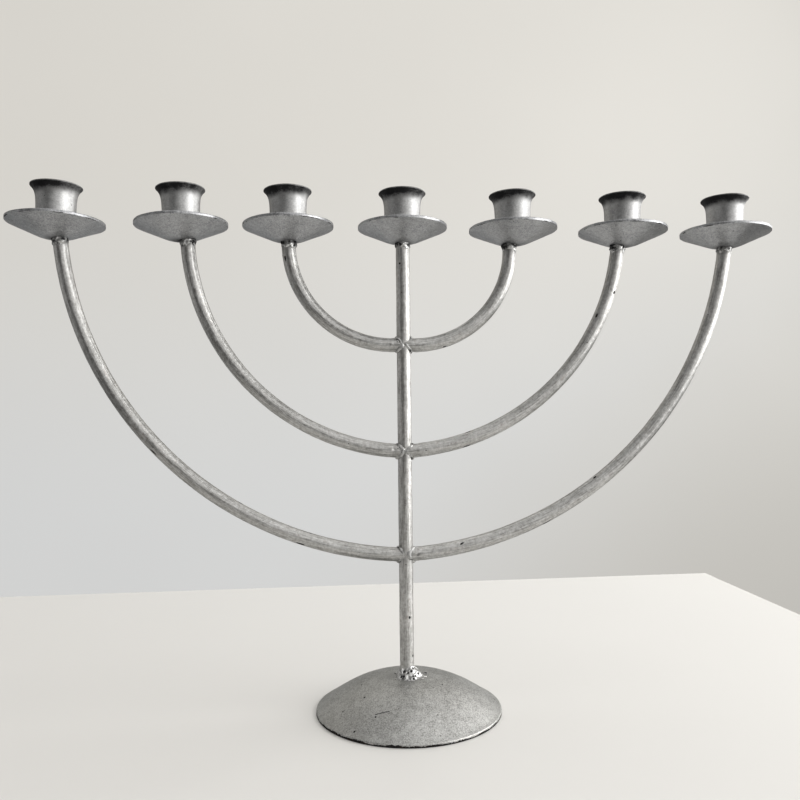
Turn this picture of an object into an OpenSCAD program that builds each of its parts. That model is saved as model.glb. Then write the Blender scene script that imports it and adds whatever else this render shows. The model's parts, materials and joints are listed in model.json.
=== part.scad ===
// Seven-branch candelabrum, welded together from round steel rod, dished sheet pans and short tube cups.
// The origin is on the table, under the middle of the stem. +X runs along the row of cups, +Y points
// to the back and +Z is up. Left is -X and right is +X.

/* [Rod] */
// Diameter of the round rod that the stem and all six arms are cut from
rod_d = 10; // [6:0.5:12]

/* [Base] */
// Diameter of the round base
base_d = 131; // [100:0.5:180]
// Height of the domed base at its middle
base_h = 24; // [16:0.5:30]
// Thickness of the base's sheet
base_t = 2; // [1:0.25:3]
// Outside radius of the turned-down rim
base_rim_r = 3.5; // [3.5:0.5:8]
// Height of the straight edge under the turned-down rim
base_edge_h = 1; // [0.5:0.5:3]

/* [Stem and arms] */
// Height of the pans' undersides, where the stem and the arms end
seat_h = 333; // [300:1:420]
// Distance from the stem to each inner cup
inner_reach = 82; // [55:1:110]
// Distance from the stem to each middle cup
middle_reach = 161; // [130:1:200]
// Distance from the stem to each outer cup
outer_reach = 244; // [210:1:300]
// Height at which the inner arms meet the stem
inner_joint_h = 260; // [225:0.5:280]
// Height at which the middle arms meet the stem
middle_joint_h = 183; // [150:0.5:205]
// Height at which the outer arms meet the stem
outer_joint_h = 109; // [70:0.5:130]
// Slope of the inner arms where they leave the stem, in degrees above level
inner_slope = -6.5; // [-8:0.5:4]
// Slope of the middle arms where they leave the stem, in degrees above level
middle_slope = 2; // [-4:0.5:6]
// Slope of the outer arms where they leave the stem, in degrees above level
outer_slope = 2; // [-4:0.5:6]
// How deep an arm's end is hollowed to fit round the stem
cope_depth = 1.5; // [0.5:0.25:2]

/* [Hand fitting] */
// How far the base sits to the right of the stem
base_shift = 1; // [-4:0.5:4]
// How far the middle pair of cups sits to the right of true
middle_shift = 4.5; // [-6:0.5:6]
// How far the outer pair of cups sits to the right of true
outer_shift = 2; // [-6:0.5:6]
// Outward lean of the left cups, from inner to outer, in degrees
left_lean = [0.5, 1.5, -0.5]; // [-4:0.5:4]
// Outward lean of the right cups, from inner to outer, in degrees
right_lean = [-0.5, 0.5, 1]; // [-4:0.5:4]
// How far inboard of its pan's middle each left arm ends, from inner to outer
left_inset = [0, 4, 3]; // [0:0.5:5]
// How far inboard of its pan's middle each right arm ends, from inner to outer
right_inset = [3, 4, 0.5]; // [0:0.5:5]

/* [Drip pans] */
// Diameter of a drip pan
pan_d = 64.5; // [50:0.5:80]
// Depth of a drip pan, from its rim to its underside
pan_depth = 11; // [8:0.5:14]
// Radius of the rounded middle of a pan's underside, before its sides run straight to the rim
pan_round_r = 35; // [15:1:36]
// Thickness of a drip pan's sheet
pan_t = 1.2; // [0.8:0.1:2.5]

/* [Candle cups] */
// Bore of a cup, for a candle 22 mm thick
cup_bore_d = 23.6; // [18:0.1:28]
// Wall of a cup's tube
cup_t = 1.2; // [0.8:0.1:2.5]
// Height of a cup's mouth above the underside of its pan
cup_h = 37.5; // [26:0.5:50]
// Radius of the flared mouth, on the outside
flare_r = 3.4; // [1.5:0.1:5]
// Width of the flat lip beyond the flare
lip_w = 0.5; // [0.2:0.1:2]

/* [Weld beads] */
// Radius of the bead round the foot of the stem, on the base
foot_bead_r = 12.5; // [8:0.5:14]
// Height of that bead
foot_bead_h = 5; // [3:0.5:10]
// How far the bead between an arm and the stem stands proud of the rod
joint_bead_w = 1.75; // [1:0.25:3]
// How far the bead under a pan stands proud of the rod
seat_bead_w = 1.75; // [1:0.25:3]

/* [Hidden] */
$fn = 96;
STEEL = [0.66, 0.67, 0.66];
BEAD = [0.60, 0.61, 0.60];
// Facets of the largest rounds
FINE = 360;
// Overrun of one shape past the face where another cuts it
OVER = 2;
// Thickness left at the top edge of the bead round the stem's foot
BEAD_EDGE = 0.5;

rod_r = rod_d / 2;
pan_r = pan_d / 2;
base_r = base_d / 2;
cup_bore_r = cup_bore_d / 2;
cup_r = cup_bore_r + cup_t;

// A pan's straight side is the tangent from its rim to the round of its middle. This is its slope.
pan_round_h = pan_round_r - pan_depth;
pan_slope = asin(pan_round_r / norm([pan_r, pan_round_h])) - atan2(pan_round_h, pan_r);

// The base's dome is part of a ball that touches the rim's round and passes through the top.
rim_x = base_r - base_rim_r;
dome_rise = base_h - base_edge_h;
dome_r = (rim_x * rim_x + dome_rise * dome_rise - base_rim_r * base_rim_r)
    / (2 * (dome_rise - base_rim_r));

// The arms come in pairs: name, reach, shift to the right, height at the stem, slope at the stem.
PAIRS = [
    ["inner", inner_reach, 0, inner_joint_h, inner_slope],
    ["middle", middle_reach, middle_shift, middle_joint_h, middle_slope],
    ["outer", outer_reach, outer_shift, outer_joint_h, outer_slope],
];
// Each side: name, direction along X, outward lean of its cups, inset of its arms' ends.
SIDES = [["left", -1, left_lean, left_inset], ["right", 1, right_lean, right_inset]];

// Each branch: name, direction along X, distance to its cup, outward lean of its cup, inset of the
// arm's end from the cup's axis, height at the stem, slope at the stem.
BRANCHES = [
    for (side = SIDES)
        for (i = [0 : len(PAIRS) - 1])
            let (pair = PAIRS[i], distance = pair[1] + side[1] * pair[2])
            [str(side[0], "_", pair[0]), side[1], distance, side[2][i], side[3][i], pair[3], pair[4]]
];
// Each cup's place: name, position along X, lean towards +X, position of the rod's end along X.
PLACES = concat(
    [["centre", 0, 0, 0]],
    [for (b = BRANCHES) [b[0], b[1] * b[2], b[1] * b[3], b[1] * (b[2] - b[4])]]
);

// An arm is one arc from the stem's axis to its pan. Half its turn is the angle between its chord and
// its slope at the stem, and its radius follows from the chord's length.
function arm_run(branch) = branch[2] - branch[4];
function arm_rise(branch) = seat_h - branch[5];
function arm_turn(branch) = 2 * (atan2(arm_rise(branch), arm_run(branch)) - branch[6]);
function arm_bend_r(branch) =
    norm([arm_run(branch), arm_rise(branch)]) / (2 * sin(arm_turn(branch) / 2));
// How far round the arc, in degrees, the arm's hollowed end starts
function arm_start(branch) =
    asin((rod_r - cope_depth) / arm_bend_r(branch) + sin(branch[6])) - branch[6];

// The plain bent rod of an arm, running a little past the pan's underside
module bent_rod(branch) {
    bend_r = arm_bend_r(branch);
    slope = branch[6];
    start = arm_start(branch);
    overrun = OVER / bend_r * 180 / PI;
    mirror([branch[1] < 0 ? 1 : 0, 0, 0])
        translate([-bend_r * sin(slope), 0, branch[5] + bend_r * cos(slope)])
            rotate([90, 0, 0])
                rotate([0, 0, slope - 90 + start])
                    rotate_extrude(angle = arm_turn(branch) + overrun - start, $fn = FINE)
                        translate([bend_r, 0])
                            circle(d = rod_d, $fn = 48);
}

// The stem's rod, running a little into the dome and a little past the pan's underside
module straight_rod() {
    translate([0, 0, base_h - OVER])
        cylinder(d = rod_d, h = seat_h - base_h + 2 * OVER);
}

// Puts the parts of a cup at their place in the row, leaning as that cup leans
module at_place(place) {
    translate([place[1], 0, seat_h])
        rotate([0, place[2], 0])
            children();
}

// Half the section of all that lies above a pan's sheet, moved in from its underside by inset
module pan_outline(inset) {
    touch = [
        (pan_round_r - inset) * sin(pan_slope),
        pan_round_r - (pan_round_r - inset) * cos(pan_slope)
    ];
    far = touch + pan_r * [cos(pan_slope), sin(pan_slope)];
    top = 2 * pan_round_r;
    intersection() {
        square([far[0], top]);
        union() {
            translate([0, pan_round_r])
                circle(r = pan_round_r - inset, $fn = FINE);
            polygon([[0, pan_round_r], touch, far, [far[0], top], [0, top]]);
        }
    }
}

// The space above a pan's underside, to cut a rod's end or a bead to it
module above_pan() {
    rotate_extrude($fn = FINE)
        pan_outline(0);
}

// The ball whose upper face is the dome of the base
module dome_ball() {
    translate([base_shift, 0, base_h - dome_r])
        sphere(r = dome_r, $fn = FINE);
}

// Half the outline of the base: a dome, a round at the rim and a straight edge, all moved in by inset
module base_outline(inset) {
    span = 2 * dome_r;
    centre_z = base_h - dome_r;
    rim_angle = atan2(rim_x, base_edge_h - centre_z);
    intersection() {
        square([span, base_h]);
        union() {
            intersection() {
                translate([0, centre_z])
                    circle(r = dome_r - inset, $fn = FINE);
                polygon([
                    [0, centre_z],
                    [0, centre_z + span],
                    [span * sin(rim_angle), centre_z + span * cos(rim_angle)]
                ]);
            }
            translate([rim_x, base_edge_h])
                circle(r = base_rim_r - inset);
            square([base_r - inset, base_edge_h]);
        }
    }
}

module base() {
    color(STEEL)
        translate([base_shift, 0, 0])
            rotate_extrude()
                difference() {
                    base_outline(0);
                    base_outline(base_t);
                }
}

module stem() {
    color(STEEL)
        difference() {
            straight_rod();
            dome_ball();
            at_place(PLACES[0])
                above_pan();
        }
}

module arm(i) {
    color(STEEL)
        difference() {
            bent_rod(BRANCHES[i]);
            straight_rod();
            at_place(PLACES[i + 1])
                above_pan();
        }
}

// A dished sheet: its rim is cut square to its straight side.
module drip_pan(place) {
    color(STEEL)
        at_place(place)
            rotate_extrude()
                intersection() {
                    difference() {
                        pan_outline(0);
                        pan_outline(pan_t);
                    }
                    translate([pan_r, pan_depth])
                        rotate(pan_slope)
                            translate([-2 * pan_r, -pan_r])
                                square(2 * pan_r);
                }
}

// Half the section of a cup: a straight tube, a quarter-round flare and a narrow flat lip
module cup_outline() {
    flare_z = cup_h - flare_r - cup_t;
    flare_x = cup_r + flare_r;
    translate([cup_bore_r, 0])
        square([cup_t, flare_z]);
    intersection() {
        translate([flare_x, flare_z])
            difference() {
                circle(r = flare_r + cup_t);
                circle(r = flare_r);
            }
        translate([cup_bore_r, flare_z])
            square(flare_r + cup_t);
    }
    translate([flare_x, flare_z + flare_r])
        square([lip_w, cup_t]);
}

// The tube's foot is cut to the dish that it stands in.
module candle_cup(place) {
    color(STEEL)
        at_place(place)
            rotate_extrude()
                difference() {
                    cup_outline();
                    difference() {
                        square([pan_r, pan_depth]);
                        pan_outline(pan_t);
                    }
                }
}

module weld_stem_base() {
    color(BEAD)
        difference() {
            translate([0, 0, base_h - OVER])
                cylinder(r1 = foot_bead_r, r2 = rod_r + BEAD_EDGE, h = foot_bead_h + OVER);
            dome_ball();
            straight_rod();
        }
}

module weld_arm(i) {
    branch = BRANCHES[i];
    color(BEAD)
        difference() {
            translate([branch[1] * rod_r, 0, branch[5]])
                sphere(r = rod_r + joint_bead_w);
            straight_rod();
            bent_rod(branch);
        }
}

module weld_pan(i) {
    place = PLACES[i];
    color(BEAD)
        difference() {
            translate([place[3], 0, seat_h - seat_bead_w / 2])
                sphere(r = rod_r + seat_bead_w);
            at_place(place)
                above_pan();
            if (i == 0) {
                straight_rod();
            } else {
                bent_rod(BRANCHES[i - 1]);
            }
        }
}

base();
stem();
weld_stem_base();
for (i = [0 : len(BRANCHES) - 1]) {
    arm(i);
    weld_arm(i);
}
for (i = [0 : len(PLACES) - 1]) {
    drip_pan(PLACES[i]);
    candle_cup(PLACES[i]);
    weld_pan(i);
}
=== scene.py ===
"""A welded steel candelabrum with curved arms, made as a set of add-on operators and run as a script.

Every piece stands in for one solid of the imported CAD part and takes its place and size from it.
All lengths are in metres: +X runs along the row of cups, +Y points to the back and +Z is up.
"""

import json
import math

import bpy
import numpy as np
from mathutils import Matrix, Vector


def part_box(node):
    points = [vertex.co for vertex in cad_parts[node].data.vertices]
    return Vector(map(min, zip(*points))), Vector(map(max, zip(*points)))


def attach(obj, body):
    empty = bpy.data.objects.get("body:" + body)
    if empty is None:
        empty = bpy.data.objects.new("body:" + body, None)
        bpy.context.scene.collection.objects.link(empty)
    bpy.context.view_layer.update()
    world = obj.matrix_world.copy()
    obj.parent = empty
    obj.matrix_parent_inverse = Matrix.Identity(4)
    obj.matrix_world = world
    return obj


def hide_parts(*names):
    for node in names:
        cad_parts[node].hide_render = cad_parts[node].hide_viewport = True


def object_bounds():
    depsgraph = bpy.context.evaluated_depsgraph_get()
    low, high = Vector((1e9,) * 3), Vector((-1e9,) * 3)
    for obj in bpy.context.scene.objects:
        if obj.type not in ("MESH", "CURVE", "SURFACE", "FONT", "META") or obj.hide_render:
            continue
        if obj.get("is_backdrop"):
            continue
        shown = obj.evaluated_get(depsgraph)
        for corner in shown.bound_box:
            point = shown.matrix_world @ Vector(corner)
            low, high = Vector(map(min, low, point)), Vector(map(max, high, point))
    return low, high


bl_info = {
    "name": "Branched candelabrum",
    "version": (1, 0, 0),
    "blender": (4, 5, 0),
    "location": "3D View > Sidebar > Candelabrum",
    "description": "Makes a welded steel candelabrum in silver paint, piece by piece",
    "category": "Object",
}

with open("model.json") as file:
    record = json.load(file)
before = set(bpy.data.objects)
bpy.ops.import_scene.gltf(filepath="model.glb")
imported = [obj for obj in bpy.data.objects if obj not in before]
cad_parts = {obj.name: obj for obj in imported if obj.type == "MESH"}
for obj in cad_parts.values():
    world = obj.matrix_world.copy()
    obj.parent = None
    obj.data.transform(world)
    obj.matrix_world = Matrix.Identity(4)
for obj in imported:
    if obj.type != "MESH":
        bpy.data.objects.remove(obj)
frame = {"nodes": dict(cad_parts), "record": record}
CAD_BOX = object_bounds()

MM = 0.001
UP = np.array([0.0, 0.0, 1.0])
MOUNTS = {m["name"]: m for m in frame["record"]["mounts"]}
BRANCHES = [name[4:] for name in sorted(frame["nodes"]) if name.startswith("arm_")]
PLACES = ["centre"] + BRANCHES


# ---------------------------------------------------------------- places read from the CAD part


def node_points(node):
    """All the vertices of a CAD node, as an array of points."""
    mesh = frame["nodes"][node].data
    flat = np.zeros(len(mesh.vertices) * 3)
    mesh.vertices.foreach_get("co", flat)
    return flat.reshape(-1, 3)


def node_size(node):
    """The middle of a CAD node's box, and its size."""
    low, high = (np.array(corner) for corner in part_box(node))
    return (low + high) / 2, high - low


STEM_MIDDLE, STEM_SIZE = node_size("stem")
ROD_R = STEM_SIZE[0] / 2
SEAT_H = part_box("drip_pan_centre")[0].z
BASE_MIDDLE, BASE_SIZE = node_size("base")
CUP_BORE_R = MOUNTS["candle_bore_centre"]["dims"]["r_mm"] * MM


def rod_arc(node):
    """The circle that a bent rod's middle line follows: its middle (x, z) and its radius.

    Each point of the rod's skin is the rod's radius away from that circle. The circle starts as the
    one nearest to all the points, and Gauss-Newton steps then move it until that distance is right.
    """
    x, y, z = node_points(node).T
    first = np.linalg.lstsq(np.c_[2 * x, 2 * z, np.ones(len(x))], x * x + z * z, rcond=None)[0]
    arc = np.array([first[0], first[1], math.sqrt(first[2] + first[0] ** 2 + first[1] ** 2)])
    for _ in range(20):
        dx, dz = x - arc[0], z - arc[1]
        out = np.hypot(dx, dz)
        away = np.hypot(out - arc[2], y)
        miss = away - ROD_R
        trust = 1 / (1 + (miss / (0.1 * MM)) ** 2)
        pull = (out - arc[2]) / np.maximum(away, 1e-9)
        slopes = np.c_[-dx / out * pull, -dz / out * pull, -pull]
        arc -= np.linalg.lstsq(slopes * trust[:, None], miss * trust, rcond=None)[0]
    return arc


def seat_of(place):
    """The middle of a pan's underside, the direction in which its cup leans, and two directions across."""
    mount = MOUNTS["candle_bore_" + place]
    up = np.array(mount["axis"])
    up = up / np.linalg.norm(up)
    point = np.array(mount["pos_m"])
    seat = point - up * (point[2] - SEAT_H) / up[2]
    across = np.cross([0.0, 1.0, 0.0], up)
    across /= np.linalg.norm(across)
    return seat, up, across, np.cross(up, across)


# ---------------------------------------------------------------- surfaces from arrays


def turns(count):
    """Angles evenly spaced round a full turn."""
    return np.linspace(0, 2 * math.pi, count, endpoint=False)


def waves(points, size, seed, count=28):
    """A smooth random height, mostly between -1 and 1, whose bumps are about one size.

    It is a sum of plane cosine waves. Their directions, lengths and phases are drawn at random.
    """
    draw = np.random.default_rng(seed)
    ways = draw.normal(size=(count, 3))
    ways *= (2 * math.pi / size * draw.uniform(0.6, 1.5, count) / np.linalg.norm(ways, axis=1))[:, None]
    return np.cos(points @ ways.T + draw.uniform(0, 2 * math.pi, count)).sum(-1) / math.sqrt(2 * count)


def lumps(points, centres, radii):
    """A height of 1 at each centre that falls away as a bell curve over its radius; lumps do not add up."""
    height = np.zeros(points.shape[:-1])
    for centre, radius in zip(centres, radii):
        square = ((points - centre) ** 2).sum(-1)
        height = np.maximum(height, np.exp(-square / radius**2))
    return height


def outward(points, wrap):
    """Unit normals of a grid of points that closes on itself across, and along it too if wrap is set."""
    if wrap:
        along = np.roll(points, -1, 0) - np.roll(points, 1, 0)
    else:
        along = np.gradient(points, axis=0)
    across = np.roll(points, -1, 1) - np.roll(points, 1, 1)
    normal = np.cross(across, along)
    length = np.linalg.norm(normal, axis=-1, keepdims=True)
    return normal / np.maximum(length, 1e-15)


def turned(profile, count, foot, up, across, back):
    """A profile of (radius, height) points turned about an axis, with a ring of points for each of them."""
    angle = turns(count)
    radial = np.cos(angle)[:, None] * across + np.sin(angle)[:, None] * back
    return foot + profile[:, 0, None, None] * radial + profile[:, 1, None, None] * up


def carried(path, side, back, radii, count):
    """A round section carried along a path. Each ring lies across it, in its side and back directions."""
    angle = turns(count)
    ring = np.cos(angle)[:, None] * side[:, None] + np.sin(angle)[:, None] * back[:, None]
    return path[:, None] + radii[..., None] * ring


def rounded(corners, step, reach):
    """A line of (radius, height) corners as evenly spaced points, each averaged with those within reach."""
    run = np.r_[0, np.cumsum(np.linalg.norm(np.diff(corners, axis=0), axis=1))]
    even = np.linspace(0, run[-1], max(int(run[-1] / step), 8))
    points = np.stack([np.interp(even, run, corners[:, k]) for k in (0, 1)], -1)
    near = np.clip(1 - np.abs(even[:, None] - even) / reach, 0, 1)
    soft = near @ points / near.sum(1, keepdims=True)
    soft[0], soft[-1] = points[0], points[-1]
    return soft


def make_piece(name, node, slot, points, marks, wrap=False, poles=(False, False)):
    """Makes a mesh from a grid of points that closes on itself across, and puts it in a CAD node's place.

    wrap joins the last ring to the first. A pole closes the first or the last ring to one point at its
    middle. marks are named values for the points, from 0 to 1. The UV map holds the way along and across
    the surface in metres.
    """
    rows, cols = points.shape[:2]
    index = np.arange(rows * cols).reshape(rows, cols)
    low = index if wrap else index[:-1]
    high = np.roll(index, -1, 0) if wrap else index[1:]
    quads = np.stack([low, np.roll(low, -1, 1), np.roll(high, -1, 1), high], -1).reshape(-1, 4)

    step_along = np.linalg.norm(np.diff(points, axis=0, append=points[:1]), axis=-1).mean(1)
    step_across = np.linalg.norm(np.roll(points, -1, 1) - points, axis=-1).max(0)
    along = np.r_[0, np.cumsum(step_along)]
    across = np.r_[0, np.cumsum(step_across)]
    i, j = np.meshgrid(np.arange(len(low)), np.arange(cols), indexing="ij")
    corners_i = np.stack([i, i, i + 1, i + 1], -1).reshape(-1, 4)
    corners_j = np.stack([j, j + 1, j + 1, j], -1).reshape(-1, 4)
    uv = np.stack([along[corners_i], across[corners_j]], -1).reshape(-1, 2)

    vertices = points.reshape(-1, 3)
    triangles = []
    for ring, at_start in ((index[0], True), (index[-1], False)):
        if not poles[0 if at_start else 1]:
            continue
        tip = len(vertices)
        vertices = np.r_[vertices, vertices[ring].mean(0)[None]]
        after = np.roll(ring, -1)
        fan = [after, ring] if at_start else [ring, after]
        triangles.append(np.stack([*fan, np.full(cols, tip)], -1))
        place = along[0] if at_start else along[rows - 1]
        turn = across[:cols] if not at_start else across[1:]
        back = across[1:] if not at_start else across[:cols]
        fan_uv = np.stack([turn, back, (turn + back) / 2], -1)
        uv = np.r_[uv, np.stack([np.full_like(fan_uv, place), fan_uv], -1).reshape(-1, 2)]
        marks = {k: np.r_[v.ravel(), v.ravel()[ring].mean()] for k, v in marks.items()}
    fans = np.concatenate(triangles) if triangles else np.zeros((0, 3), int)

    first = vertices[quads[:, 0]]
    volume = (np.cross(first, vertices[quads[:, 1]]) * vertices[quads[:, 2]]).sum()
    volume += (np.cross(first, vertices[quads[:, 2]]) * vertices[quads[:, 3]]).sum()
    volume += (np.cross(vertices[fans[:, 0]], vertices[fans[:, 1]]) * vertices[fans[:, 2]]).sum()
    if volume < 0:
        quads, fans = quads[:, ::-1], fans[:, ::-1]
        split = 4 * len(quads)
        uv = np.r_[uv[:split].reshape(-1, 4, 2)[:, ::-1].reshape(-1, 2),
                   uv[split:].reshape(-1, 3, 2)[:, ::-1].reshape(-1, 2)]

    mesh = bpy.data.meshes.new(name)
    mesh.from_pydata(vertices.tolist(), [], quads.tolist() + fans.tolist())
    mesh.uv_layers.new(name="surface").data.foreach_set("uv", uv.astype(np.float32).ravel())
    for mark, value in marks.items():
        layer = mesh.attributes.new(mark, "FLOAT", "POINT")
        layer.data.foreach_set("value", np.clip(value, 0, 1).astype(np.float32).ravel())
    mesh.shade_smooth()
    mesh.materials.append(LOOKS[slot]())
    piece = bpy.data.objects.new(name, mesh)
    bpy.context.scene.collection.objects.link(piece)
    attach(piece, "root")
    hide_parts(node)
    return piece


# ---------------------------------------------------------------- looks


class Wire:
    """A socket that carries numbers. Arithmetic on it adds Math nodes to its material."""

    def __init__(self, look, socket):
        self.look = look
        self.socket = socket

    def maths(self, operation, *values):
        return Wire(self.look, self.look.node("ShaderNodeMath", {"operation": operation}, *values).outputs[0])

    def __add__(self, other):
        return self.maths("ADD", self, other)

    __radd__ = __add__

    def __mul__(self, other):
        return self.maths("MULTIPLY", self, other)

    __rmul__ = __mul__

    def __sub__(self, other):
        return self.maths("SUBTRACT", self, other)

    def __rsub__(self, other):
        return self.maths("SUBTRACT", other, self)

    def step(self, low, high):
        """0 below low, 1 above high, and a smooth rise between them."""
        settings = {"interpolation_type": "SMOOTHSTEP"}
        made = self.look.node("ShaderNodeMapRange", settings, self, low, high, 0.0, 1.0)
        return Wire(self.look, made.outputs[0])

    def most(self, other):
        return self.maths("MAXIMUM", self, other)


class Look:
    """A material that is being wired up."""

    def __init__(self, name):
        self.material = bpy.data.materials.new(name)
        self.material.use_nodes = True
        self.tree = self.material.node_tree
        self.tree.nodes.clear()

    def node(self, kind, settings=None, *values, **named):
        """Adds a node: its settings are set first, then its sockets in order, then those given by name."""
        made = self.tree.nodes.new(kind)
        for key, value in (settings or {}).items():
            setattr(made, key, value)
        inputs = [s for s in made.inputs if s.enabled]
        by_name = ((made.inputs[key.replace("_", " ")], value) for key, value in named.items())
        for socket, value in [*zip(inputs, values), *by_name]:
            if isinstance(value, Wire):
                self.tree.links.new(value.socket, socket)
            elif isinstance(value, bpy.types.NodeSocket):
                self.tree.links.new(value, socket)
            elif value is not None:
                socket.default_value = value
        return made

    def mark(self, name):
        """A named value of the surface, from 0 to 1."""
        return Wire(self, self.node("ShaderNodeAttribute", {"attribute_name": name}).outputs["Fac"])

    def noise(self, where, size, detail=2.0, rough=0.5):
        """Smooth noise from 0 to 1 whose patches are about as wide as size."""
        numbers = {"Scale": 1 / size, "Detail": detail, "Roughness": rough}
        made = self.node("ShaderNodeTexNoise", {}, Vector=where, **numbers)
        return Wire(self, made.outputs["Fac"])

    def dot(self, where, way):
        made = self.node("ShaderNodeVectorMath", {"operation": "DOT_PRODUCT"}, where, way)
        return Wire(self, made.outputs["Value"])

    def spot(self, where, x, y, reach):
        """A round mark of some reach about an upright line at x, y."""
        flat = self.node("ShaderNodeVectorMath", {"operation": "MULTIPLY"}, where, (1, 1, 0)).outputs[0]
        made = self.node("ShaderNodeVectorMath", {"operation": "DISTANCE"}, flat, (x, y, 0))
        return 1 - Wire(self, made.outputs["Value"]).step(0.6 * reach, 1.1 * reach)

    def scratch(self, where, start, end, width):
        """A straight mark from one (x, y) to another, of some width."""
        span = math.dist(start, end)
        ahead = ((end[0] - start[0]) / span, (end[1] - start[1]) / span)
        along = self.dot(where, (*ahead, 0)) - (ahead[0] * start[0] + ahead[1] * start[1])
        aside = self.dot(where, (-ahead[1], ahead[0], 0)) - (ahead[0] * start[1] - ahead[1] * start[0])
        line = 1 - aside.maths("ABSOLUTE", aside).step(0.4 * width, 0.7 * width)
        return line * along.step(-width, 0.0) * (1 - along.step(span, span + width))

    def mix(self, share, first, second):
        """A colour between two, by a share from 0 to 1."""
        made = self.tree.nodes.new("ShaderNodeMix")
        made.data_type = "RGBA"
        for socket, value in ((made.inputs[0], share), (made.inputs[6], first), (made.inputs[7], second)):
            if isinstance(value, Wire):
                self.tree.links.new(value.socket, socket)
            elif isinstance(value, bpy.types.NodeSocket):
                self.tree.links.new(value, socket)
            else:
                socket.default_value = value if isinstance(value, float) else (*value, 1)
        return made.outputs[2]


def base_chips(count, seed):
    """Middles (x, y) and reaches of round chips on the base, spread evenly over it."""
    draw = np.random.default_rng(seed)
    away = 62 * MM * np.sqrt(draw.uniform(0.15, 1, count))
    angle = draw.uniform(0, 2 * math.pi, count)
    x, y = BASE_MIDDLE[0] + away * np.cos(angle), away * np.sin(angle)
    return np.stack([x, y, draw.uniform(0.5 * MM, 0.9 * MM, count)], -1).tolist()


def base_scratches(count, seed):
    """Ends of short straight scratches on the base."""
    draw = np.random.default_rng(seed)
    for _ in range(count):
        away, angle, heading = 45 * MM, draw.uniform(0, 2 * math.pi), draw.uniform(0, math.pi)
        start = (BASE_MIDDLE[0] + away * math.cos(angle), away * math.sin(angle))
        yield start, (start[0] + 9 * MM * math.cos(heading), start[1] + 9 * MM * math.sin(heading))


def silver_paint(name, dark, light, gloss, mottle, grainy, streaks, rust, marked=False):
    """Satin silver paint on steel: cloudy, grained, flecked and chipped through to dark steel.

    mottle is the width of its cloudy patches, grainy how strong its grain is and streaks how strongly it is
    streaked along the surface. The wear mark says where it chips, and rust how brown it is where it is thin.
    The soot_and_shade mark says where it turns near-black: burnt in places, and painted shade in others, such
    as under the pans, beside the stem's foot and on the sides away from the window. A marked one has the
    base's chips and scratches.
    """
    look = Look(name)
    where = look.node("ShaderNodeTexCoord").outputs["Object"]
    surface = look.node("ShaderNodeUVMap", {"uv_map": "surface"}).outputs["UV"]
    cloud = look.noise(where, 6 * mottle, 2.0)
    patch = look.noise(where, mottle, 4.0, 0.6)
    grain = look.noise(where, 0.9 * MM, 3.0, 0.75)
    peel = look.noise(where, 1.6 * MM, 1.0)
    stretched = look.node("ShaderNodeVectorMath", {"operation": "MULTIPLY"}, surface, (60.0, 800.0, 1.0))
    streak = look.noise(stretched.outputs[0], 1.0, 3.0, 0.6)

    wear, soot_and_shade = look.mark("wear"), look.mark("soot_and_shade")
    ragged = look.noise(where, 1.3 * MM, 5.0, 0.7)
    chip = (wear + ragged * 0.9).step(1.02, 1.09)
    cells = look.node("ShaderNodeTexVoronoi", {}, Vector=where, Scale=1 / (5 * MM))
    pick = Wire(look, look.node("ShaderNodeSeparateColor", {}, cells.outputs["Color"]).outputs[0])
    near = 1 - Wire(look, cells.outputs["Distance"]).step(0.05, 0.12)
    bare = chip.most(near * (pick + wear * 0.4).step(0.90, 0.94))
    if marked:
        for x, y, reach in base_chips(14, 31):
            bare = bare.most(look.spot(where, x, y, reach))
        for start, end in base_scratches(3, 32):
            line = look.scratch(where, start, end, 0.7 * MM)
            bare = bare.most(line * (ragged + 0.2).step(0.45, 0.8))

    tone = 0.5 + (cloud - 0.5) * 0.4 + (patch - 0.5) * 0.7 + (grain - 0.5) * grainy + (streak - 0.5) * streaks
    paint = look.mix(tone.step(0.0, 1.0), dark, light)
    brown = (streak - patch * 0.4 + cloud * 0.3).step(0.52, 0.72) * rust
    paint = look.mix(brown, paint, (0.17, 0.11, 0.085))
    rusty = look.noise(where, 2.5 * MM, 3.0).step(0.55, 0.75)
    steel = look.mix(rusty, (0.014, 0.013, 0.013), (0.05, 0.03, 0.02))
    # burnt_and_shaded darkens the paint to near-black: burn in places, and painted shade where the mark holds
    # shade.
    burnt_and_shaded = (soot_and_shade + ((patch - 0.5) * 0.5 + (grain - 0.5) * 0.7) * soot_and_shade.step(0.0, 0.3)).step(0.08, 0.9)
    colour = look.mix(burnt_and_shaded, paint, (0.013, 0.013, 0.014))
    colour = look.mix(bare, colour, steel)

    height = peel * 0.04 * MM + grain * 0.012 * MM + patch * 0.08 * MM - bare * 0.1 * MM
    bump = look.node("ShaderNodeBump", {}, Strength=1.0, Distance=1.0, Height=height)
    rough = gloss + (patch - 0.5) * 0.2 + (grain - 0.5) * 0.2 + burnt_and_shaded * 0.2 + bare * 0.3
    shader = look.node(
        "ShaderNodeBsdfPrincipled",
        {},
        Base_Color=colour,
        Metallic=(1 - burnt_and_shaded * 0.6) * (1 - bare * 0.7) * 0.94,
        Roughness=rough,
        Specular_Tint=(0.4, 0.4, 0.4, 1),
        Normal=bump.outputs["Normal"],
    )
    output = look.node("ShaderNodeOutputMaterial")
    look.tree.links.new(shader.outputs[0], output.inputs["Surface"])
    return look.material


MADE = {}


def paint_of(slot, *numbers):
    """A function that makes a slot's paint the first time and hands out the same one after that."""

    def get():
        if slot not in MADE:
            MADE[slot] = silver_paint(slot, *numbers)
        return MADE[slot]

    return get


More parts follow.
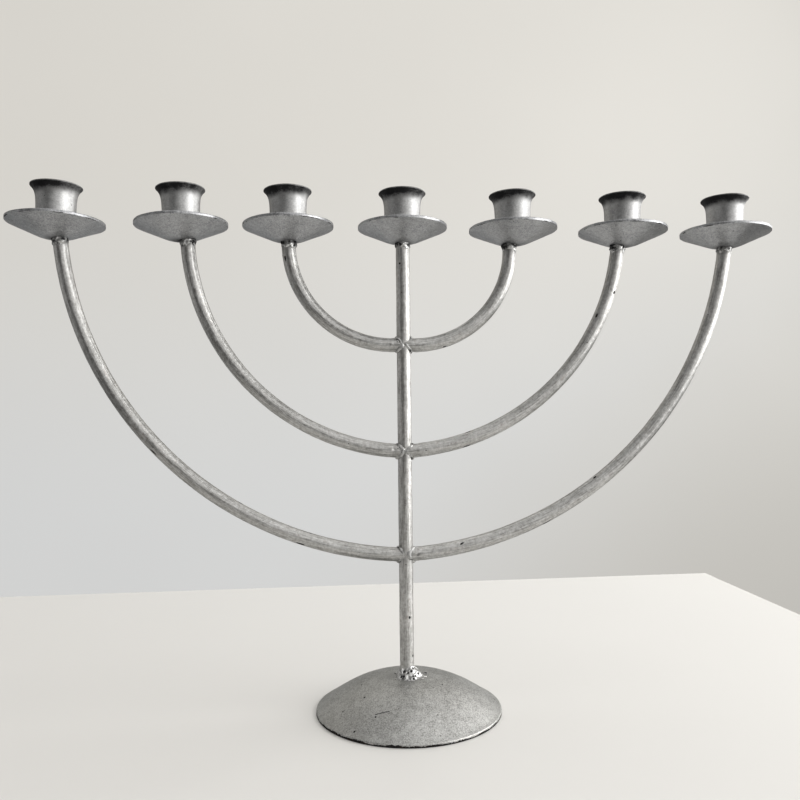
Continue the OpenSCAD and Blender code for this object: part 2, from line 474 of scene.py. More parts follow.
# For each slot: dark and light paint, roughness, width of its patches, grain, streaks and rust
LOOKS = {
    "base_sheet": paint_of(
        "base_sheet", (0.24, 0.24, 0.23), (0.57, 0.57, 0.56), 0.47, 4 * MM, 2.2, 0.0, 0.0, True
    ),
    "rod_steel": paint_of(
        "rod_steel", (0.20, 0.195, 0.185), (0.66, 0.66, 0.65), 0.39, 2.2 * MM, 0.5, 1.3, 0.5
    ),
    "pan_sheet": paint_of(
        "pan_sheet", (0.20, 0.205, 0.215), (0.54, 0.545, 0.555), 0.42, 3 * MM, 1.9, 0.0, 0.1
    ),
    "cup_tube": paint_of("cup_tube", (0.26, 0.26, 0.26), (0.52, 0.52, 0.52), 0.45, 2.5 * MM, 1.5, 0.0, 0.0),
    "weld_bead": paint_of("weld_bead", (0.26, 0.26, 0.255), (0.68, 0.68, 0.67), 0.28, 2 * MM, 1.0, 0.0, 0.1),
}


# ---------------------------------------------------------------- sizes


def length(name, description, default):
    """A property that holds a length."""
    return bpy.props.FloatProperty(
        name=name, description=description, default=default, min=0.0, unit="LENGTH", precision=4
    )


def ratio(name, description, default):
    """A property that holds a plain number."""
    return bpy.props.FloatProperty(name=name, description=description, default=default, min=0.0)


class CandelabrumSizes(bpy.types.PropertyGroup):
    base_edge_h: length("Base edge", "Height of the straight edge round the base", 2.2 * MM)
    base_square: ratio("Base shoulder", "How full the base's shoulder is: 2 is a ball, more is fuller", 2.59)
    base_fall: ratio("Base fall", "How steadily the base falls to its edge: 1 is steepest at the edge", 1.2)
    base_t: length("Base sheet", "Thickness of the base's sheet", 2 * MM)
    pan_depth: length("Pan depth", "Depth of a drip pan, from its rim to its underside", 11 * MM)
    pan_round_r: length("Pan round", "Radius of the rounded middle of a pan's underside", 35 * MM)
    pan_t: length("Pan sheet", "Thickness of a drip pan's sheet", 1.2 * MM)
    rim_h: length("Pan rim height", "Height of the upright edge round a drip pan", 1.8 * MM)
    rim_w: length("Pan rim width", "Width of the flat top of that edge", 0.9 * MM)
    cup_t: length("Cup wall", "Wall of a cup's tube", 1.2 * MM)
    cup_h: length("Cup height", "Height of a cup's mouth above the underside of its pan", 37 * MM)
    flare_w: length("Flare width", "How far a cup's mouth spreads beyond its tube", 3.9 * MM)
    flare_h: length("Flare height", "Height over which the spread falls to about a third", 3.4 * MM)
    joint_bead_r: length("Joint bead", "Radius of the bead laid round an arm's end at the stem", 1.5 * MM)
    foot_bead_r: length("Foot bead", "Radius of the bead round the foot of the stem", 11.8 * MM)
    foot_bead_h: length("Foot bead height", "Height of the bead round the foot of the stem", 6.5 * MM)
    dent: length("Dents", "Height of the shallow hand-worked unevenness of the sheets", 0.12 * MM)


def sizes():
    return bpy.context.scene.candelabrum


# ---------------------------------------------------------------- base and stem


def base_profile(inset):
    """Half the outline of the base, moved in by inset.

    With r from 0 at the middle to 1 at the rim, its height is the edge's height plus the rest of the
    base's height times (1 - r^2.59)^1.2, which falls gently, then steeply. The edge is straight.
    """
    s = sizes()
    reach = BASE_SIZE[0] / 2
    share = 1 - (1 - np.linspace(0, 1, 220)) ** 1.6
    rise = BASE_SIZE[2] - s.base_edge_h
    dome = np.c_[share * reach, s.base_edge_h + rise * (1 - share**s.base_square) ** s.base_fall]
    edge = np.linspace(s.base_edge_h, 0.2 * MM, 6)[1:]
    outline = rounded(np.r_[dome, np.c_[np.full(5, reach), edge]], 0.35 * MM, 0.9 * MM)
    outline[0] = (0.2 * MM, outline[1, 1])
    along = np.gradient(outline, axis=0)
    along /= np.linalg.norm(along, axis=1)[:, None]
    moved = outline + inset * np.c_[along[:, 1], -along[:, 0]]
    return moved[moved[:, 0] > 0.1 * MM]


def dome_height(x, y):
    """Height of the base's upper face over a point of the table."""
    profile = base_profile(0)
    out = np.hypot(x - BASE_MIDDLE[0], y - BASE_MIDDLE[1])
    return np.interp(out, profile[:, 0], profile[:, 1])


class CANDELABRUM_OT_base(bpy.types.Operator):
    """Make the dished base: its profile turned about the upright, with shallow dents and a chipped edge"""

    bl_idname = "candelabrum.base"
    bl_label = "Base"

    def execute(self, context):
        s = sizes()
        outer, inner = base_profile(0), base_profile(s.base_t)[::-4]
        foot = np.array([BASE_MIDDLE[0], BASE_MIDDLE[1], 0.0])
        lip = np.array([[BASE_SIZE[0] / 2 - share * s.base_t, 0.0] for share in (0.12, 0.5, 0.88)])
        profile = np.concatenate([outer, lip, inner])
        points = turned(profile, 288, foot, UP, np.array([1.0, 0, 0]), np.array([0, 1.0, 0]))
        reach = profile[:, 0, None] / (BASE_SIZE[0] / 2)
        fade = np.clip(points[..., 2] / (6 * MM), 0, 1) * (1 - 0.8 * reach**8)
        points[..., 2] += s.dent * fade * (waves(points, 42 * MM, 3) + 0.35 * waves(points, 15 * MM, 4))
        # The lower edge turns near-black in a band that is taller on the left than on the right.
        left = 0.5 - 0.5 * (points[..., 0] - BASE_MIDDLE[0]) / (BASE_SIZE[0] / 2)
        wear = 1.05 - points[..., 2] / (2.2 * MM) * (0.95 - 0.4 * left) + 0.18 * waves(points, 12 * MM, 5)
        # A faint dark patch on the dome just left of the stem's foot: painted shadow of the stem, cast away
        # from the window.
        soot_and_shade = 0.3 * lumps(points, [[STEM_MIDDLE[0] - 10 * MM, 0, BASE_SIZE[2]]], [10 * MM])
        marks = {"wear": wear, "soot_and_shade": soot_and_shade}
        make_piece("base_shell", "base", "base_sheet", points, marks, poles=(True, True))
        return {"FINISHED"}


def rod_skin(grid_of, rows, cols, seed, worked):
    """A rod's skin from a function of the way along, the angle round it and its radius, with fine dents.

    The radius changes by a few hundredths of a millimetre in long waves and short ones, and by more where
    the function worked gives a share near 1, since the rod was filed and overheated next to its welds.
    """
    share, angle = np.meshgrid(np.linspace(0, 1, rows), turns(cols), indexing="ij")
    plain = grid_of(share, angle, np.full_like(share, ROD_R))
    uneven = 0.05 * waves(plain, 30 * MM, seed) + 0.04 * waves(plain, 5 * MM, seed + 1)
    uneven += worked(plain) * (0.22 * waves(plain, 4 * MM, seed + 3) - 0.04)
    pits = -0.22 * np.maximum(waves(plain, 3.2 * MM, seed + 2) - 1.25, 0)
    return grid_of(share, angle, ROD_R + MM * (uneven + pits)), share, angle


class CANDELABRUM_OT_stem(bpy.types.Operator):
    """Make the stem: a circle carried straight up from the base to the centre pan, with fine dents"""

    bl_idname = "candelabrum.stem"
    bl_label = "Stem"

    def execute(self, context):
        low, high = dome_height(STEM_MIDDLE[0], 0) - 1 * MM, SEAT_H + 0.5 * MM

        def grid_of(share, angle, radius):
            x = STEM_MIDDLE[0] + radius * np.cos(angle)
            y = STEM_MIDDLE[1] + radius * np.sin(angle)
            return np.stack([x, y, low + share * (high - low)], -1)

        joints = [joint_height(branch) for branch in BRANCHES]

        def worked(points):
            return np.max([np.exp(-(((points[..., 2] - joint) / (6 * MM)) ** 2)) for joint in joints], 0)

        points, share, angle = rod_skin(grid_of, 420, 48, 11, worked)
        z = points[..., 2]
        near = np.max([np.exp(-(((z - joint) / (9 * MM)) ** 2)) for joint in joints], 0)
        wear = 0.12 + 0.18 * near + 0.1 * waves(points, 20 * MM, 14)
        marks = [(0.0655, 0.35, 1.4), (0.038, 0.95, 1.3), (0.297, -0.3, 1.0), (0.318, -0.6, 1.2)]
        spots = [[STEM_MIDDLE[0] + ROD_R * math.sin(a), -ROD_R * math.cos(a), h] for h, a, _ in marks]
        wear = np.maximum(wear, 0.95 * lumps(points, np.array(spots), [size * MM for *_, size in marks]))
        # Darker near the arm joints, and painted shade over the last 9 mm under the centre pan.
        soot_and_shade = 0.3 * near + 0.5 * np.clip((z - SEAT_H + 9 * MM) / (9 * MM), 0, 1) ** 2
        make_piece("stem_rod", "stem", "rod_steel", points, {"wear": wear, "soot_and_shade": soot_and_shade}, poles=(True, True))
        return {"FINISHED"}


# ---------------------------------------------------------------- arms


def side_of(branch):
    return -1.0 if branch.startswith("left") else 1.0


def joint_height(branch):
    """Height at which an arm's middle line meets the stem's side."""
    x, z, radius = rod_arc("arm_" + branch)
    return z - math.sqrt(radius**2 - (STEM_MIDDLE[0] + side_of(branch) * ROD_R - x) ** 2)


def arm_chips(run, seed):
    """Chips on an arm of some run, about one for each 55 mm of it.

    Each is a share of the run from the stem, an angle round the rod, and the chip's length and width.
    """
    draw = np.random.default_rng(seed)
    for _ in range(round(run / (55 * MM))):
        place, turn = draw.uniform(0.1, 0.93), draw.uniform(0, 2 * math.pi)
        long, wide = draw.uniform(1.2, 4) * MM, draw.uniform(0.7, 1.1) * MM
        yield place, turn, long, wide


class CANDELABRUM_OT_arms(bpy.types.Operator):
    """Make the arms: a circle carried along each arc from the stem's side to the underside of a pan"""

    bl_idname = "candelabrum.arms"
    bl_label = "Arms"

    def execute(self, context):
        for number, branch in enumerate(BRANCHES):
            self.make_arm(branch, 100 + 10 * number)
        return {"FINISHED"}

    def make_arm(self, branch, seed):
        """One arm. Its first ring is cut to the stem's round and its last one lies in the pan's sheet."""
        x, z, arc_r = rod_arc("arm_" + branch)
        side = side_of(branch)
        end_z = SEAT_H + 0.5 * MM
        hidden_r = ROD_R - 0.3 * MM

        def grid_of(share, angle, radius):
            out = arc_r + radius * np.cos(angle)
            y = radius * np.sin(angle)
            mouth = STEM_MIDDLE[0] + side * np.sqrt(np.maximum(hidden_r**2 - y**2, 0))
            start = np.arcsin(side * (mouth - x) / out)
            end = np.arccos((z - end_z) / out)
            turn = start + share * (end - start)
            return np.stack([x + side * out * np.sin(turn), y, z - out * np.cos(turn)], -1)

        rows = int(arc_r * math.pi / 2 / (0.8 * MM))

        def worked(points):
            return np.exp(-(((np.abs(points[..., 0] - STEM_MIDDLE[0]) - ROD_R) / (7 * MM)) ** 2))

        points, share, angle = rod_skin(grid_of, rows, 48, seed, worked)
        run = share * arc_r * math.pi / 2
        top = run.max() - run
        weld = np.exp(-((run / (9 * MM)) ** 2)) + np.exp(-((top / (10 * MM)) ** 2))
        wear = 0.12 + 0.2 * weld + 0.12 * waves(points, 18 * MM, seed + 4)
        for place, turn, long, wide in arm_chips(arc_r * math.pi / 2, seed + 6):
            away = ((share - place) * arc_r * math.pi / 2 / long) ** 2
            across = (np.angle(np.exp(1j * (angle + turn))) * ROD_R / wide) ** 2
            wear = np.maximum(wear, 1.2 * np.exp(-(away + across) * 0.8))
        # Darker next to the stem, and painted shade over the last few millimetres under the pan.
        soot_and_shade = 0.3 * np.exp(-((run / (7 * MM)) ** 2)) + 0.7 * np.exp(-((top / (6 * MM)) ** 2))
        name = f"arm_{branch}_rod"
        marks = {"wear": wear, "soot_and_shade": soot_and_shade}
        make_piece(name, "arm_" + branch, "rod_steel", points, marks, poles=(True, True))


# ---------------------------------------------------------------- drip pans and candle cups


def pan_profile(inset):
    """Half the outline of a pan's underside moved in by inset: a round middle, then a straight side.

    The side is the tangent from the rim to the round, so its slope follows from the pan's width and depth.
    """
    s = sizes()
    rim_r = (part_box("drip_pan_centre")[1].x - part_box("drip_pan_centre")[0].x) / 2
    drop = s.pan_round_r - s.pan_depth
    slope = math.asin(s.pan_round_r / math.hypot(rim_r, drop)) - math.atan2(drop, rim_r)
    touch = np.array([math.sin(slope), -math.cos(slope)]) * (s.pan_round_r - inset) + [0, s.pan_round_r]
    rim = np.array([rim_r, s.pan_depth]) + inset * np.array([-math.sin(slope), math.cos(slope)])
    angle = np.linspace(0.004, slope, 26)
    middle = np.c_[np.sin(angle), -np.cos(angle)] * (s.pan_round_r - inset) + [0, s.pan_round_r]
    share = 1 - (1 - np.linspace(0, 1, 40)[1:, None]) ** 1.3
    return np.concatenate([middle, touch + share * (rim - touch)])


class CANDELABRUM_OT_pans(bpy.types.Operator):
    """Make the drip pans: a dished sheet's outline turned about each cup's axis, with an uneven rim"""

    bl_idname = "candelabrum.pans"
    bl_label = "Drip pans"

    def execute(self, context):
        s = sizes()
        under, over = pan_profile(0), pan_profile(s.pan_t)[::-1]
        rim_r, rim_z = under[-1]
        corner = 0.12 * MM
        reach_mm, edge_wear_mm, weld_shade_mm = 32.25, 0.8, 7.5
        band = [(rim_r, rim_z + height) for height in (corner, s.rim_h / 2, s.rim_h - corner)]
        edge = np.array([*band, (rim_r - corner, rim_z + s.rim_h), (rim_r - s.rim_w, rim_z + s.rim_h)])
        over = over[over[:, 0] < rim_r - 1.6 * s.rim_w]
        profile = np.concatenate([under, edge, over])
        for number, place in enumerate(PLACES):
            seat, up, across, back = seat_of(place)
            points = turned(profile, 168, seat, up, across, back)
            seed = 200 + 10 * number
            reach = (profile[:, 0] / profile[:, 0].max())[:, None]
            lift = s.dent * (waves(points, 30 * MM, seed) + 0.3 * waves(points, 9 * MM, seed + 1))
            points += (lift * reach**2)[..., None] * up
            radial = points - seat
            radial -= (radial @ up)[..., None] * up
            trim = 0.004 * reach**20 * np.minimum(waves(points, 11 * MM, seed + 2), 0.2)
            points += radial * trim[..., None]
            from_rim = (1 - reach[:, 0]) * reach_mm / edge_wear_mm
            low_edge = np.exp(-(((profile[:, 1] - rim_z) / (0.45 * MM)) ** 2) - from_rim**2)
            wear = low_edge[:, None] * (0.42 + 0.3 * waves(points, 8 * MM, seed + 3)) + 0.08
            above = np.arange(len(profile))[:, None] >= len(under)
            # The underside is painted dark round its middle, where the weld meets it: painted shade under the
            # pan, with random patches on top.
            soot_and_shade = 0.75 * np.exp(-((reach * reach_mm / weld_shade_mm) ** 2)) * ~above
            soot_and_shade = soot_and_shade + 0.1 * waves(points, 20 * MM, seed + 4)
            soot_and_shade = np.clip(soot_and_shade, 0, 1) * np.ones_like(wear)
            make_piece(f"pan_{place}_dish", "drip_pan_" + place, "pan_sheet", points,
                       {"wear": wear, "soot_and_shade": soot_and_shade}, poles=(True, True))
        return {"FINISHED"}


class CANDELABRUM_OT_cups(bpy.types.Operator):
    """Make the candle cups: a tube whose spread at the mouth dies away downwards, turned about its axis"""

    bl_idname = "candelabrum.cups"
    bl_label = "Candle cups"

    def execute(self, context):
        s = sizes()
        cup_r = CUP_BORE_R + s.cup_t
        top = s.cup_h - s.cup_t / 2
        floor = pan_profile(s.pan_t)
        foot = np.interp(cup_r, floor[:, 0], floor[:, 1]) - 0.3 * MM
        height = foot + (top - foot) * (1 - (1 - np.linspace(0, 1, 70)) ** 1.6)
        outside = np.c_[cup_r + s.flare_w * np.exp((height - top) / s.flare_h), height]
        along = np.gradient(outside, axis=0)
        along /= np.linalg.norm(along, axis=1)[:, None]
        across = np.c_[-along[:, 1], along[:, 0]]
        inside = outside + s.cup_t * across
        turn = np.linspace(0, math.pi, 9)[1:-1, None]
        middle = (outside[-1] + inside[-1]) / 2
        tip = middle + s.cup_t / 2 * (np.sin(turn) * along[-1] - np.cos(turn) * across[-1])
        profile = np.concatenate([outside, tip, inside[::-1]])
        outer_side = np.arange(len(profile))[:, None] < len(outside)
        for number, place in enumerate(PLACES):
            seat, up, across, back = seat_of(place)
            points = turned(profile, 120, seat, up, across, back)
            seed = 400 + 10 * number
            height = profile[:, 1][:, None] * np.ones(120)
            radial = points - seat
            radial -= (radial @ up)[..., None] * up
            flare = np.exp((height - s.cup_h) / (6 * MM))
            uneven = 0.004 * waves(points, 22 * MM, seed) + 0.012 * flare * waves(points, 18 * MM, seed + 1)
            points += radial * uneven[..., None]
            # The mouth is dark in a band, for dark primer there, and lit makes the band a third lighter on
            # the side towards the window: painted shade on the far side.
            lit = 0.5 + 0.5 * np.cos(turns(120) + 0.35)
            deep = np.clip((height - s.cup_h + 8.5 * MM) / (6 * MM), 0, 1)
            soot_and_shade = deep * (1 - 0.35 * lit**3) * np.where(outer_side, 1.0, 0.5)
            soot_and_shade = soot_and_shade * (1 + 0.15 * waves(points, 8 * MM, seed + 2)) + 0.12 * ~outer_side
            wear = 0.1 + 0.3 * flare * waves(points, 7 * MM, seed + 3)
            make_piece(f"cup_{place}_tube", "candle_cup_" + place, "cup_tube", points,
                       {"wear": wear, "soot_and_shade": soot_and_shade}, wrap=True)
        return {"FINISHED"}


# ---------------------------------------------------------------- weld beads


def roughen(points, wrap, seed, lump, pit, blobs, holes):
    """Pushes a bead's skin out into blobs and in at small dark holes. Returns it with the holes' depth.

    blobs and holes are how many there are, with their least and greatest radius.
    """
    draw = np.random.default_rng(seed)
    flat = points.reshape(-1, 3)
    high, low = (flat[draw.integers(0, len(flat), kind[0])] for kind in (blobs, holes))
    bulge = lumps(points, high, draw.uniform(*blobs[1:], len(high)))
    hollow = lumps(points, low, draw.uniform(*holes[1:], len(low)))
    rise = lump * (bulge - 0.35 + 0.2 * waves(points, 2.8 * MM, seed + 1)) - pit * hollow
    return points + outward_signed(points, wrap) * rise[..., None], hollow


def outward_signed(points, wrap):
    """Normals of a closed grid, turned to point away from its middle line."""
    normal = outward(points, wrap)
    ring_middle = points.mean(0 if wrap else 1, keepdims=True)
    facing = ((points - ring_middle) * normal).sum()
    return normal * (1 if facing > 0 else -1)


def sleeve(foot, up, across, back, outer, inner_r, rows, cols):
    """A closed collar round a rod: outer gives the outside (radius, height) at each share and angle,
    and a straight inner wall, hidden in the rod, closes it."""
    share, angle = np.meshgrid(np.linspace(0, 1, rows), turns(cols), indexing="ij")
    radius, height = outer(share, angle)
    inner_share = np.linspace(1, 0, 6)[:, None]
    inner_h = height[0] + inner_share * (height[-1] - height[0])
    radius = np.concatenate([radius, np.full_like(inner_h, inner_r)])
    height = np.concatenate([height, inner_h])
    angle = np.concatenate([angle, np.repeat(angle[:1], 6, 0)])
    radial = np.cos(angle)[..., None] * across + np.sin(angle)[..., None] * back
    return foot + radius[..., None] * radial + height[..., None] * up


class CANDELABRUM_OT_welds(bpy.types.Operator):
    """Make the weld beads: rough collars under the pans and round the stem's foot, and beads carried
    along the curves where the arms meet the stem"""

    bl_idname = "candelabrum.welds"
    bl_label = "Weld beads"

    def execute(self, context):
        self.make_foot_bead()
        for number, branch in enumerate(BRANCHES):
            self.make_joint_bead(branch, 600 + 10 * number)
        for number, place in enumerate(PLACES):
            self.make_pan_bead(place, 700 + 10 * number)
        return {"FINISHED"}

    def finish(self, name, node, points, seed, lump, pit, blobs, holes, grime_and_shade):
        """Roughens a bead and makes it. grime_and_shade is how dark it is, from 0 to 1, before its dark
        holes: even grime on the joint beads, and painted shade under the pans on the pan beads.
        """
        points, hollow = roughen(points, True, seed, lump, pit, blobs, holes)
        marks = {
            "soot_and_shade": np.clip(1.3 * hollow + grime_and_shade * (0.75 + 0.4 * waves(points, 3.5 * MM, seed + 5)), 0, 1),
            "wear": 0.15 + 0.2 * waves(points, 3 * MM, seed + 6),
        }
        make_piece(name, node, "weld_bead", points, marks, wrap=True)

    def make_foot_bead(self):
        """The collar on the base: a hollow fillet from the rod to the dome, wider to the right."""
        s = sizes()
        foot = np.array([STEM_MIDDLE[0], STEM_MIDDLE[1], 0.0])

        def outer(share, angle):
            uneven = 0.06 * np.cos(3 * angle + 1) + 0.05 * np.cos(5 * angle) + 0.16 * np.cos(angle + 0.5)
            reach = s.foot_bead_r * (1 + uneven)
            radius = reach + share * (ROD_R - 0.2 * MM - reach)
            under = dome_height(foot[0] + radius * np.cos(angle), radius * np.sin(angle))
            crest = s.foot_bead_h * (1 + 0.12 * np.cos(2 * angle + 2))
            return radius, under - 0.5 * MM + (crest + 0.5 * MM) * share**1.6

        across, back = np.array([1.0, 0, 0]), np.array([0, 1.0, 0])
        points = sleeve(foot, UP, across, back, outer, ROD_R - 1 * MM, 60, 150)
        blobs, holes = (20, 1.4 * MM, 3.2 * MM), (60, 0.5 * MM, 1.1 * MM)
        self.finish("foot_weld", "weld_stem_base", points, 590, 1.1 * MM, 1.1 * MM, blobs, holes, 0.0)

    def make_pan_bead(self, place, seed):
        """The collar under a pan: widest at the pan, and tapering to the rod a few millimetres down."""
        if place == "centre":
            foot, down = np.array([STEM_MIDDLE[0], STEM_MIDDLE[1], SEAT_H]), -UP
        else:
            x, z, arc_r = rod_arc("arm_" + place)
            turn = math.acos((z - SEAT_H) / arc_r)
            side = side_of(place)
            foot = np.array([x + side * arc_r * math.sin(turn), 0, SEAT_H])
            down = -np.array([side * math.cos(turn), 0, math.sin(turn)])
        across = np.cross([0.0, 1.0, 0.0], down)
        back = np.cross(down, across)
        draw = np.random.default_rng(seed + 3)
        phase = draw.uniform(0, 2 * math.pi, 3)

        def outer(share, angle):
            reach = 4.6 * MM * (1 + 0.22 * np.cos(angle + phase[0]) + 0.14 * np.cos(3 * angle + phase[1]))
            height = -0.8 * MM + share * (reach + 0.8 * MM)
            swell = 1.0 * MM * (1 - share**2.2) * (1 + 0.25 * np.cos(2 * angle + phase[2]))
            return ROD_R - 0.25 * MM + swell, height

        points = sleeve(foot, down, across, back, outer, ROD_R - 1 * MM, 40, 96)
        below = (points - foot) @ down
        aside = np.abs((points - foot) @ across) / ROD_R
        # Dark next to the pan and fading over a few millimetres down, more at the rod's left and right:
        # painted shade under the pan.
        grime_and_shade = np.clip(1.4 - below / (3.2 * MM), 0.15, 1) * (0.5 + 0.7 * aside**2)
        blobs, holes = (14, 0.8 * MM, 1.7 * MM), (16, 0.5 * MM, 1.1 * MM)
        name, node = f"pan_{place}_weld", "weld_pan_" + place
        self.finish(name, node, points, seed, 0.6 * MM, 0.9 * MM, blobs, holes, grime_and_shade)

    def make_joint_bead(self, branch, seed):
        """A bead carried round the curve where an arm's skin meets the stem's, nearly flush at the front."""
        s = sizes()
        side = side_of(branch)
        joint = joint_height(branch)
        angle = turns(220)
        y, up = ROD_R * np.sin(angle), ROD_R * np.cos(angle)
        out = np.sqrt(up**2 + (2.6 * MM) ** 2)
        path = np.c_[STEM_MIDDLE[0] + side * out, STEM_MIDDLE[1] + y, joint + up]
        lean = np.c_[side * out, 2 * y, up]
        lean /= np.linalg.norm(lean, axis=1)[:, None]
        ahead = np.roll(path, -1, 0) - np.roll(path, 1, 0)
        ahead /= np.linalg.norm(ahead, axis=1)[:, None]
        flank = np.cross(ahead, lean)
        draw = np.random.default_rng(seed)
        front = np.sin(angle) ** 2
        radius = s.joint_bead_r + 1.7 * MM * front
        broad, fine = draw.uniform(0, 6), draw.uniform(0, 6)
        radius *= 1 + 0.12 * np.cos(angle + broad) + 0.08 * np.cos(3 * angle + fine)
        sink = 0.6 * MM + 2.6 * MM * front
        points = carried(path - lean * sink[:, None], lean, flank, radius[:, None] * np.ones(28), 28)
        blobs, holes = (30, 0.9 * MM, 2.2 * MM), (34, 0.5 * MM, 1.0 * MM)
        name, node = f"joint_{branch}_weld", "weld_arm_" + branch
        self.finish(name, node, points, seed, 0.5 * MM, 0.8 * MM, blobs, holes, 0.42)


# ---------------------------------------------------------------- stage


class CandelabrumStage(bpy.types.PropertyGroup):
    camera_place: bpy.props.FloatVectorProperty(
        name="Camera",
        description="Place of the camera",
        default=(-0.05563, -0.53092, 0.20337),
        subtype="XYZ",
        unit="LENGTH",
    )
    camera_turn: bpy.props.FloatProperty(
        name="Turn", description="How far the camera is turned to the right", default=0.0987, subtype="ANGLE"
    )
    camera_tilt: bpy.props.FloatProperty(
        name="Tilt", description="How far the camera looks up", default=0.0309, subtype="ANGLE"
    )
    camera_roll: bpy.props.FloatProperty(
        name="Roll", description="Roll of the camera", default=-0.0106, subtype="ANGLE"
    )
    lens: bpy.props.FloatProperty(
        name="Lens", description="Focal length", default=33.3, subtype="DISTANCE_CAMERA"
    )
    window_power: bpy.props.FloatProperty(
        name="Window light", description="Power of the large soft light", default=50.0, unit="POWER"
    )


class CANDELABRUM_OT_stage(bpy.types.Operator):
    """Make the camera, the pale table and wall, and the soft light of a large window on the right"""

    bl_idname = "candelabrum.stage"
    bl_label = "Stage"

    def execute(self, context):
        stage = context.scene.candelabrum_stage
        self.make_camera(context.scene, stage)
        self.make_table()
        self.make_wall()
        self.make_lights(stage)
        self.make_room(context.scene)
        return {"FINISHED"}

    def make_camera(self, scene, stage):
        ahead = Vector((
            math.sin(stage.camera_turn) * math.cos(stage.camera_tilt),
            math.cos(stage.camera_turn) * math.cos(stage.camera_tilt),
            math.sin(stage.camera_tilt),
        ))
        level = Vector((math.cos(stage.camera_turn), -math.sin(stage.camera_turn), 0))
        above = level.cross(ahead)
        right = level * math.cos(stage.camera_roll) + above * math.sin(stage.camera_roll)
        above = above * math.cos(stage.camera_roll) - level * math.sin(stage.camera_roll)
        camera = bpy.data.objects.new("camera", bpy.data.cameras.new("camera"))
        camera.data.lens = stage.lens
        camera.data.clip_start = 0.01
        facing = Matrix((right, above, -ahead)).transposed().to_4x4()
        camera.matrix_world = Matrix.Translation(stage.camera_place) @ facing
        scene.collection.objects.link(camera)
        scene.camera = camera

    def plain(self, name, colour, rough, patch):
        look = Look(name)
        where = look.node("ShaderNodeTexCoord").outputs["Object"]
        tone = look.noise(where, patch, 3.0)
        fine = look.noise(where, 1.2 * MM, 2.0)
        shade = look.mix(tone, tuple(c * 0.97 for c in colour), colour)
        bump = look.node("ShaderNodeBump", {}, Strength=0.12, Distance=1.0, Height=fine * 0.1 * MM)
        normal = bump.outputs["Normal"]
        shader = look.node("ShaderNodeBsdfPrincipled", {}, Base_Color=shade, Roughness=rough, Normal=normal)
        look.tree.links.new(shader.outputs[0], look.node("ShaderNodeOutputMaterial").inputs["Surface"])
        return look.material

    def add_stage(self, name, corners, material):
        mesh = bpy.data.meshes.new(name)
        mesh.from_pydata(corners, [], [list(range(len(corners)))])
        mesh.materials.append(material)
        piece = bpy.data.objects.new(name, mesh)
        bpy.context.scene.collection.objects.link(piece)
        piece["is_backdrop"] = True
        return piece

    def make_table(self):
        corners = [(-0.47, -0.8, 0), (0.38, -0.8, 0), (0.442, 0.413, 0), (-0.47, 0.405, 0)]
        self.add_stage("table", corners, self.plain("table_top", (0.71, 0.70, 0.68), 0.42, 0.2))

    def make_wall(self):
        """The wall glows evenly, so its brightness does not depend on the window, but for its lower right,
        where the glow is dimmed as painted shade.
        """
        look = Look("wall_glow")
        where = look.node("ShaderNodeTexCoord").outputs["Object"]
        corner = look.dot(where, (0.75, 0, -0.55)).step(-0.1, 1.05)
        high = look.dot(where, (0, 0, 1)).step(-0.1, 1.0)
        uneven = look.noise(where, 0.5, 2.0)
        glow = look.mix(high.most(corner), (0.50, 0.505, 0.505), (0.52, 0.50, 0.46))
        shader = look.node(
            "ShaderNodeBsdfPrincipled",
            {},
            Base_Color=look.mix(uneven, (0.18, 0.18, 0.175), (0.21, 0.21, 0.205)),
            Roughness=0.9,
            # The glow is up to a third weaker towards the lower right: painted shade.
            Emission_Color=look.mix(corner * 0.34, glow, (0.0, 0.0, 0.0)),
            Emission_Strength=1.0,
        )
        look.tree.links.new(shader.outputs[0], look.node("ShaderNodeOutputMaterial").inputs["Surface"])
        corners = [(-4, 1.5, -1.5), (4, 1.5, -1.5), (4, 1.5, 3), (-4, 1.5, 3)]
        self.add_stage("wall", corners, look.material)

    def make_lights(self, stage):
        """A tall window along the right, from beside the camera to the wall, and a weak light overhead."""
        power = stage.window_power
        for name, place, aim, width, height, watts, colour in (
            ("window", (1.7, -0.15, 0.72), (0, -0.15, 0.55), 2.8, 1.5, power, (1.0, 0.995, 0.98)),
            ("overhead", (0.3, 0.5, 2.5), (0, 0.2, 0), 2.5, 2.0, 0.3 * power, (1, 0.99, 0.97)),
        ):
            light = bpy.data.lights.new(name, "AREA")
            light.shape = "RECTANGLE"
            light.size, light.size_y = width, height
            light.energy = watts
            light.color = colour
            lamp = bpy.data.objects.new(name, light)
            lamp.location = place
            lamp.rotation_euler = (Vector(aim) - Vector(place)).to_track_quat("-Z", "Y").to_euler()
            lamp.visible_camera = False
            bpy.context.scene.collection.objects.link(lamp)

    def make_room(self, scene):
        """The room's own light, by direction.

        There is a pale wall far off to the left, a bright ceiling in front, a glow round the window, a dark
        doorway behind the camera on the left and a dim floor.
        """
        world = bpy.data.worlds.new("room")
        world.use_nodes = True
        tree = world.node_tree
        tree.nodes.clear()
        look = Look.__new__(Look)
        look.tree = tree
        way = look.node("ShaderNodeTexCoord").outputs["Generated"]

        def facing(x, y, z, low, high):
            aim = look.node("ShaderNodeVectorMath", {"operation": "DOT_PRODUCT"}, way, (x, y, z))
            return Wire(look, aim.outputs["Value"]).step(low, high)

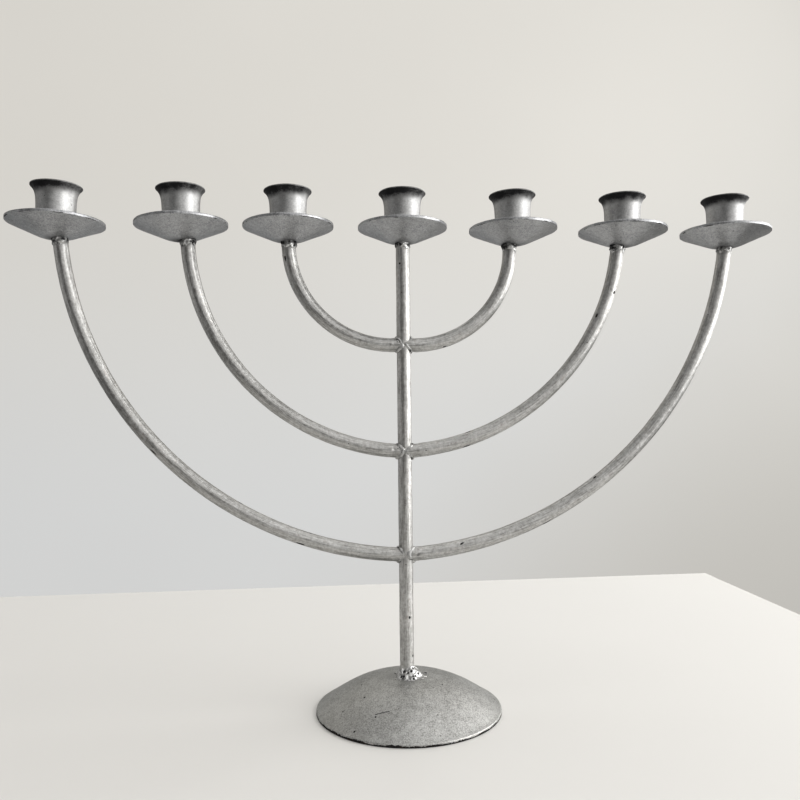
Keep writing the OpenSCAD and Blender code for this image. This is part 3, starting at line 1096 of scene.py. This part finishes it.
        level = Wire(look, look.node("ShaderNodeSeparateXYZ", {}, way).outputs["Z"])
        across = facing(-1, 0, 0.05, 0.3, 0.85) * (1 - level.maths("ABSOLUTE", level).step(0.12, 0.42))
        above = facing(0, 0, 1, 0.3, 0.85) * 0.25 + facing(0.35, -0.6, 0.72, 0.6, 0.97) * 0.8
        light = 0.14 + across * 0.5 + above + facing(0.87, -0.5, 0, 0.3, 1.0) * 1.1
        light = light * (1 - facing(-0.5, -0.86, -0.1, 0.82, 0.97) * 0.85)
        light = light * (0.4 + level.step(-0.3, -0.02) * 0.6)
        lit = look.mix(light, (0.0, 0.0, 0.0), (1.0, 0.99, 0.97))
        seen = look.node("ShaderNodeLightPath").outputs["Is Camera Ray"]
        shade = look.mix(Wire(look, seen), lit, (0.68, 0.66, 0.63))
        background = look.node("ShaderNodeBackground", {}, Color=shade, Strength=1.0)
        look.tree.links.new(background.outputs[0], look.node("ShaderNodeOutputWorld").inputs["Surface"])
        scene.world = world
        scene.view_settings.view_transform = "Standard"


# ---------------------------------------------------------------- panel and run


class CANDELABRUM_PT_panel(bpy.types.Panel):
    bl_label = "Candelabrum"
    bl_idname = "CANDELABRUM_PT_panel"
    bl_space_type = "VIEW_3D"
    bl_region_type = "UI"
    bl_category = "Candelabrum"

    def draw(self, context):
        for group in (context.scene.candelabrum, context.scene.candelabrum_stage):
            box = self.layout.box()
            for name in group.__annotations__:
                box.prop(group, name)
        for operator in OPERATORS:
            self.layout.operator(operator.bl_idname)


OPERATORS = (
    CANDELABRUM_OT_base,
    CANDELABRUM_OT_stem,
    CANDELABRUM_OT_arms,
    CANDELABRUM_OT_pans,
    CANDELABRUM_OT_cups,
    CANDELABRUM_OT_welds,
    CANDELABRUM_OT_stage,
)
CLASSES = (CandelabrumSizes, CandelabrumStage, *OPERATORS, CANDELABRUM_PT_panel)


def register():
    for item in CLASSES:
        bpy.utils.register_class(item)
    bpy.types.Scene.candelabrum = bpy.props.PointerProperty(type=CandelabrumSizes)
    bpy.types.Scene.candelabrum_stage = bpy.props.PointerProperty(type=CandelabrumStage)


def unregister():
    del bpy.types.Scene.candelabrum_stage
    del bpy.types.Scene.candelabrum
    for item in reversed(CLASSES):
        bpy.utils.unregister_class(item)


def main():
    register()
    bpy.ops.candelabrum.base()
    bpy.ops.candelabrum.stem()
    bpy.ops.candelabrum.arms()
    bpy.ops.candelabrum.pans()
    bpy.ops.candelabrum.cups()
    bpy.ops.candelabrum.welds()
    bpy.ops.candelabrum.stage()
    boxes = {"cad": CAD_BOX, "visual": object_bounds()}
    {name: [list(corner) for corner in box] for name, box in boxes.items()}


if __name__ == "__main__":
    main()
